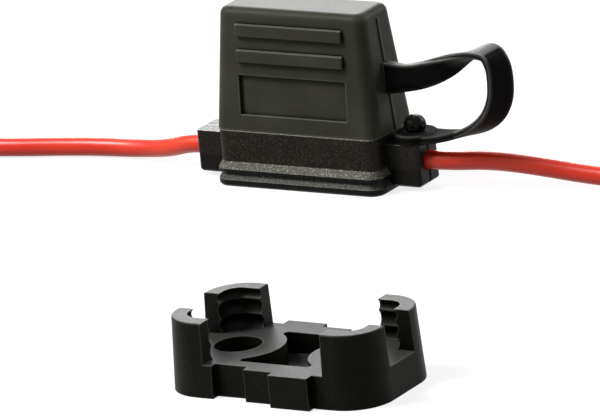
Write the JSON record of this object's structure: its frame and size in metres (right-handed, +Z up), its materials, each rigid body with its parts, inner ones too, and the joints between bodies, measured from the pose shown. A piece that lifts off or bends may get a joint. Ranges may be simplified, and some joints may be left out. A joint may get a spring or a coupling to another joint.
{
  "type": "blade fuse holder",
  "caption": "In-line blade fuse holder: tapered rubber cap on a strap, ribbed split housing, terminals, two wire leads, and a separate screw-down mounting clip.",
  "frame": {"origin": "middle of the housing's underside", "axes": "+X along the leads towards the strap and peg, +Y to the back, +Z up through the cap"},
  "size_m": [0.304, 0.1494, 0.0396],
  "materials": {
    "cap_rubber": "smooth matte moulded",
    "housing_nylon": "fine grained, semi-gloss on the edges",
    "terminal_brass": "tin plated",
    "spring_steel": "bright rolled",
    "fuse_plastic": "clear tinted",
    "fuse_metal": "zinc, tin plated",
    "lead_pvc": "extruded, glossy",
    "lead_copper": "bare copper strands",
    "clip_plastic": "matte moulded"
  },
  "bodies": {
    "holder": {"front_shell": "housing_nylon", "rear_shell": "housing_nylon", "left_terminal": "terminal_brass", "right_terminal": "terminal_brass", "left_contact_spring": "spring_steel", "right_contact_spring": "spring_steel", "fuse_body": "fuse_plastic", "fuse_element": "fuse_metal", "left_lead_jacket": "lead_pvc", "left_lead_core": "lead_copper", "right_lead_jacket": "lead_pvc", "right_lead_core": "lead_copper", "mounting_clip": "clip_plastic"},
    "cap": {"cap": "cap_rubber", "retaining_strap": "cap_rubber"}
  },
  "joints": [
    {"name": "cap_lift", "type": "slide", "parent": "holder", "child": "cap", "axis": [0, 0, 1], "range_m": [0, 0.024], "deforming": ["retaining_strap"]}
  ]
}
